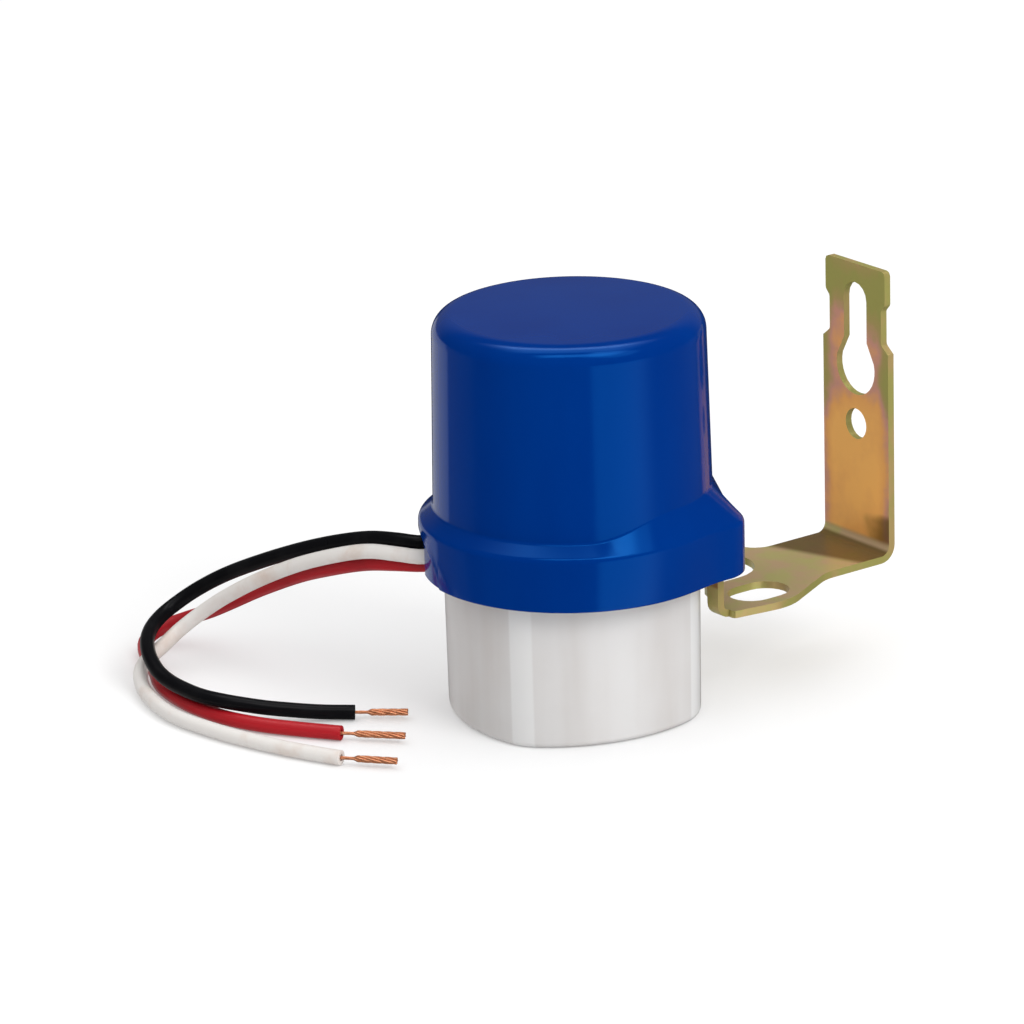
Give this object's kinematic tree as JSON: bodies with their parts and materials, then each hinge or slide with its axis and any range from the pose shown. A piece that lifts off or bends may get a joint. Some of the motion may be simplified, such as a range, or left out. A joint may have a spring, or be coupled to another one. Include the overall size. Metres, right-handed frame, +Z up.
{
  "type": "photocell switch",
  "caption": "Day-night photocell switch with a blue hood over a translucent white cup, a folded wall bracket and three stripped leads",
  "frame": {"origin": "centre of the cup's flat underside, on the hood's axis", "axes": "+Z is up, from the cup to the hood. +X points from the hood to the outer face of the bracket's upright leg, which goes against the wall. +Y completes the right-handed frame."},
  "size_m": [0.1364, 0.1156, 0.082],
  "materials": {
    "blue_plastic": "glossy moulded blue plastic",
    "white_plastic": "translucent moulded white plastic",
    "yellow_zinc": "steel with yellow zinc plating",
    "seal_rubber": "black rubber",
    "board_laminate": "green board laminate",
    "screw_steel": "plated steel",
    "relay_case": "blue relay case",
    "capacitor_case": "red-brown coated film capacitor",
    "capacitor_sleeve": "dark shrink sleeve",
    "varistor_coat": "blue coated disc",
    "black_epoxy": "black moulded plastic",
    "diode_glass": "orange-red glassy body",
    "resistor_coat": "beige lacquer",
    "sensor_ceramic": "ceramic disc under clear resin",
    "black_insulation": "smooth black insulation",
    "white_insulation": "smooth white insulation",
    "red_insulation": "smooth red insulation",
    "bare_copper": "twisted bare copper strands"
  },
  "bodies": {
    "root": {"hood_cap": "blue_plastic", "translucent_cup": "white_plastic", "bracket": "yellow_zinc", "cord_seal": "seal_rubber", "sealing_ring": "seal_rubber", "circuit_board": "board_laminate", "board_screw_1": "screw_steel", "board_screw_2": "screw_steel", "relay": "relay_case", "dropper_capacitor": "capacitor_case", "smoothing_capacitor": "capacitor_sleeve", "varistor": "varistor_coat", "transistor_1": "black_epoxy", "transistor_2": "black_epoxy", "rectifier_diode_1": "black_epoxy", "rectifier_diode_2": "black_epoxy", "rectifier_diode_3": "black_epoxy", "rectifier_diode_4": "black_epoxy", "zener_diode": "diode_glass", "resistor_1": "resistor_coat", "resistor_2": "resistor_coat", "resistor_3": "resistor_coat", "sensor_holder": "black_epoxy", "photoresistor": "sensor_ceramic", "black_lead": "black_insulation", "white_lead": "white_insulation", "red_lead": "red_insulation", "black_lead_inner": "black_insulation", "white_lead_inner": "white_insulation", "red_lead_inner": "red_insulation", "black_conductor": "bare_copper", "white_conductor": "bare_copper", "red_conductor": "bare_copper"}
  },
  "joints": []
}
